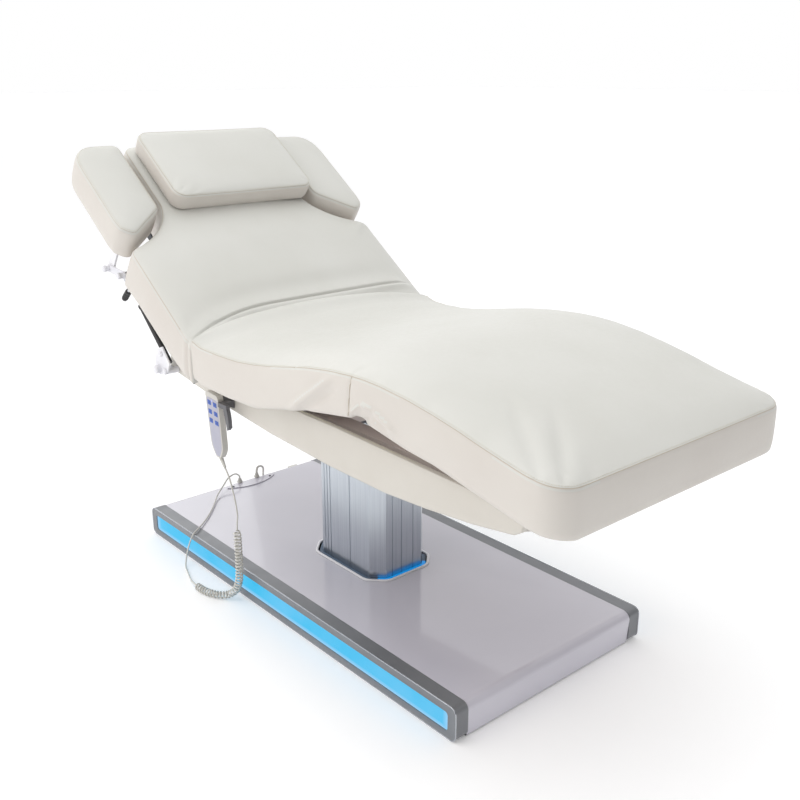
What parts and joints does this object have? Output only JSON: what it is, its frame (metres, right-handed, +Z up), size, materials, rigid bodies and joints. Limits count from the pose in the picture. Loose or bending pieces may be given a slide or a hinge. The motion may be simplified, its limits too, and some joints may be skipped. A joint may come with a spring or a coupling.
{
  "type": "facial treatment bed",
  "caption": "Electric facial bed in ivory synthetic leather on a lifting column, with a glossy lilac base, blue side lights, tilting back, knee-break leg section, head wings and wired handset",
  "frame": {"origin": "On the floor under the middle of the rectangular base", "axes": "+X points to the foot end, -Y is the near side with the handset, +Z is up"},
  "size_m": [1.7753, 0.776, 1.1279],
  "materials": {
    "upholstery": "satin synthetic leather",
    "base_lacquer": "high gloss",
    "trim_paint": "satin",
    "light_diffuser": "smooth translucent",
    "white_paint": "semi gloss",
    "dark_paint": "satin",
    "column_aluminium": "brushed, anodised",
    "bright_rod": "polished",
    "plywood": "plain",
    "cord_plastic": "soft matte",
    "handset_plastic": "fine texture",
    "key_plastic": "soft matte",
    "black_plastic": "satin",
    "hook_plastic": "satin",
    "control_plastic": "plain"
  },
  "bodies": {
    "base": {"base_plate": "dark_paint", "base_cover": "base_lacquer", "side_trim_near": "trim_paint", "side_trim_far": "trim_paint", "light_panel_near": "light_diffuser", "light_panel_far": "light_diffuser", "control_box": "control_plastic", "column_trim_ring": "white_paint", "cable_plate": "base_lacquer", "handset_gland": "cord_plastic", "mains_gland": "cord_plastic", "column_outer": "column_aluminium", "mains_cord": "cord_plastic", "mains_cord_coil": "cord_plastic", "mains_plug": "cord_plastic", "handset_cord_lower": "cord_plastic", "handset_cord_curl": "cord_plastic"},
    "column_middle": {"column_middle": "column_aluminium"},
    "bed_frame": {"column_inner": "column_aluminium", "column_head_plate": "dark_paint", "seat_frame": "dark_paint", "seat_board": "plywood", "seat_pad": "upholstery", "side_board_near": "upholstery", "side_board_far": "upholstery", "foot_board": "upholstery", "anchor_plate_near": "white_paint", "anchor_plate_far": "white_paint", "handset_hook": "hook_plastic", "handset_shell": "handset_plastic", "handset_boot": "cord_plastic", "handset_cord_upper": "cord_plastic"},
    "thigh": {"thigh_board": "plywood", "thigh_pad": "upholstery"},
    "leg": {"leg_board": "plywood", "leg_pad": "upholstery"},
    "leg_actuator_body": {"leg_actuator_body": "control_plastic"},
    "leg_actuator_rod": {"leg_actuator_rod": "bright_rod"},
    "back": {"back_pad": "upholstery", "back_frame": "dark_paint", "pillow": "upholstery"},
    "strut_rod_near": {"strut_rod_near": "bright_rod"},
    "strut_tube_near": {"strut_tube_near": "black_plastic"},
    "wing_link_near": {"wing_link_near": "white_paint"},
    "wing_near": {"wing_pad_near": "upholstery", "wing_bracket_near": "white_paint"},
    "release_handle_near": {"release_handle_near": "black_plastic"},
    "strut_rod_far": {"strut_rod_far": "bright_rod"},
    "strut_tube_far": {"strut_tube_far": "black_plastic"},
    "wing_link_far": {"wing_link_far": "white_paint"},
    "wing_far": {"wing_pad_far": "upholstery", "wing_bracket_far": "white_paint"},
    "release_handle_far": {"release_handle_far": "black_plastic"},
    "key_1_left": {"key_1_left": "key_plastic"},
    "key_1_right": {"key_1_right": "key_plastic"},
    "key_2_left": {"key_2_left": "key_plastic"},
    "key_2_right": {"key_2_right": "key_plastic"},
    "key_3_left": {"key_3_left": "key_plastic"},
    "key_3_right": {"key_3_right": "key_plastic"}
  },
  "joints": [
    {"name": "lift", "type": "slide", "parent": "base", "child": "bed_frame", "axis": [0, 0, 1], "range_m": [0, 0.3]},
    {"name": "column_middle_slide", "type": "slide", "parent": "base", "child": "column_middle", "axis": [0, 0, 1], "range_m": [0, 0.15]},
    {"name": "thigh_tilt", "type": "hinge", "parent": "bed_frame", "child": "thigh", "pos_m": [0.04, 0, 0.568], "axis": [0, -1, 0], "range_deg": [-11.2, 8]},
    {"name": "knee", "type": "hinge", "parent": "thigh", "child": "leg", "pos_m": [0.3902, 0, 0.63734], "axis": [0, 1, 0], "range_deg": [-21.21, 15.15]},
    {"name": "leg_actuator_tilt", "type": "hinge", "parent": "bed_frame", "child": "leg_actuator_body", "pos_m": [0.625, 0, 0.535], "axis": [0, 1, 0], "range_deg": [-8.8, 6.3]},
    {"name": "leg_actuator_slide", "type": "slide", "parent": "leg_actuator_body", "child": "leg_actuator_rod", "axis": [-0.9864, 0, 0.1646], "range_m": [-0.0098, 0.0071]},
    {"name": "back_tilt", "type": "hinge", "parent": "bed_frame", "child": "back", "pos_m": [-0.268, 0, 0.566], "axis": [0, 1, 0], "range_deg": [-35, 25]},
    {"name": "strut_swing_near", "type": "hinge", "parent": "back", "child": "strut_rod_near", "pos_m": [-0.62147, -0.32, 0.75857], "axis": [0, 1, 0], "range_deg": [-19.7, 14.1]},
    {"name": "strut_slide_near", "type": "slide", "parent": "strut_rod_near", "child": "strut_tube_near", "axis": [0.7325, 0, -0.6807], "range_m": [-0.0403, 0.0288]},
    {"name": "wing_swing_near", "type": "hinge", "parent": "back", "child": "wing_link_near", "pos_m": [-0.58223, -0.3485, 0.77626], "axis": [0, 1, 0], "range_deg": [-25, 0]},
    {"name": "wing_tilt_near", "type": "hinge", "parent": "wing_link_near", "child": "wing_near", "pos_m": [-0.66391, -0.3435, 0.7834], "axis": [0, 1, 0], "range_deg": [-20, 0]},
    {"name": "release_near", "type": "hinge", "parent": "back", "child": "release_handle_near", "pos_m": [-0.54667, -0.345, 0.7538], "axis": [0, 1, 0], "range_deg": [0, 15], "stiffness_Nm_per_rad": 0.8},
    {"name": "strut_swing_far", "type": "hinge", "parent": "back", "child": "strut_rod_far", "pos_m": [-0.62147, 0.32, 0.75857], "axis": [0, 1, 0], "range_deg": [-19.7, 14.1]},
    {"name": "strut_slide_far", "type": "slide", "parent": "strut_rod_far", "child": "strut_tube_far", "axis": [0.7325, 0, -0.6807], "range_m": [-0.0403, 0.0288]},
    {"name": "wing_swing_far", "type": "hinge", "parent": "back", "child": "wing_link_far", "pos_m": [-0.58223, 0.3485, 0.77626], "axis": [0, 1, 0], "range_deg": [-25, 0]},
    {"name": "wing_tilt_far", "type": "hinge", "parent": "wing_link_far", "child": "wing_far", "pos_m": [-0.66391, 0.3435, 0.7834], "axis": [0, 1, 0], "range_deg": [-20, 0]},
    {"name": "release_far", "type": "hinge", "parent": "back", "child": "release_handle_far", "pos_m": [-0.54667, 0.345, 0.7538], "axis": [0, 1, 0], "range_deg": [0, 15], "stiffness_Nm_per_rad": 0.8},
    {"name": "press_key_1_left", "type": "slide", "parent": "bed_frame", "child": "key_1_left", "axis": [0.0349, 0.997, 0.0688], "range_m": [0, 0.001], "stiffness_N_per_m": 300},
    {"name": "press_key_1_right", "type": "slide", "parent": "bed_frame", "child": "key_1_right", "axis": [0.0349, 0.997, 0.0688], "range_m": [0, 0.001], "stiffness_N_per_m": 300},
    {"name": "press_key_2_left", "type": "slide", "parent": "bed_frame", "child": "key_2_left", "axis": [0.0349, 0.997, 0.0688], "range_m": [0, 0.001], "stiffness_N_per_m": 300},
    {"name": "press_key_2_right", "type": "slide", "parent": "bed_frame", "child": "key_2_right", "axis": [0.0349, 0.997, 0.0688], "range_m": [0, 0.001], "stiffness_N_per_m": 300},
    {"name": "press_key_3_left", "type": "slide", "parent": "bed_frame", "child": "key_3_left", "axis": [0.0349, 0.997, 0.0688], "range_m": [0, 0.001], "stiffness_N_per_m": 300},
    {"name": "press_key_3_right", "type": "slide", "parent": "bed_frame", "child": "key_3_right", "axis": [0.0349, 0.997, 0.0688], "range_m": [0, 0.001], "stiffness_N_per_m": 300}
  ],
  "couplings": [
    {"joint": "column_middle_slide", "follows": "lift", "ratio": 0.5},
    {"joint": "knee", "follows": "thigh_tilt", "ratio": 1.8929},
    {"joint": "leg_actuator_tilt", "follows": "thigh_tilt", "ratio": 0.78},
    {"joint": "leg_actuator_slide", "follows": "thigh_tilt", "m_per_rad": 0.0498},
    {"joint": "strut_swing_near", "follows": "back_tilt", "ratio": 0.56},
    {"joint": "strut_slide_near", "follows": "back_tilt", "m_per_rad": 0.0659},
    {"joint": "strut_swing_far", "follows": "back_tilt", "ratio": 0.56},
    {"joint": "strut_slide_far", "follows": "back_tilt", "m_per_rad": 0.0659}
  ]
}
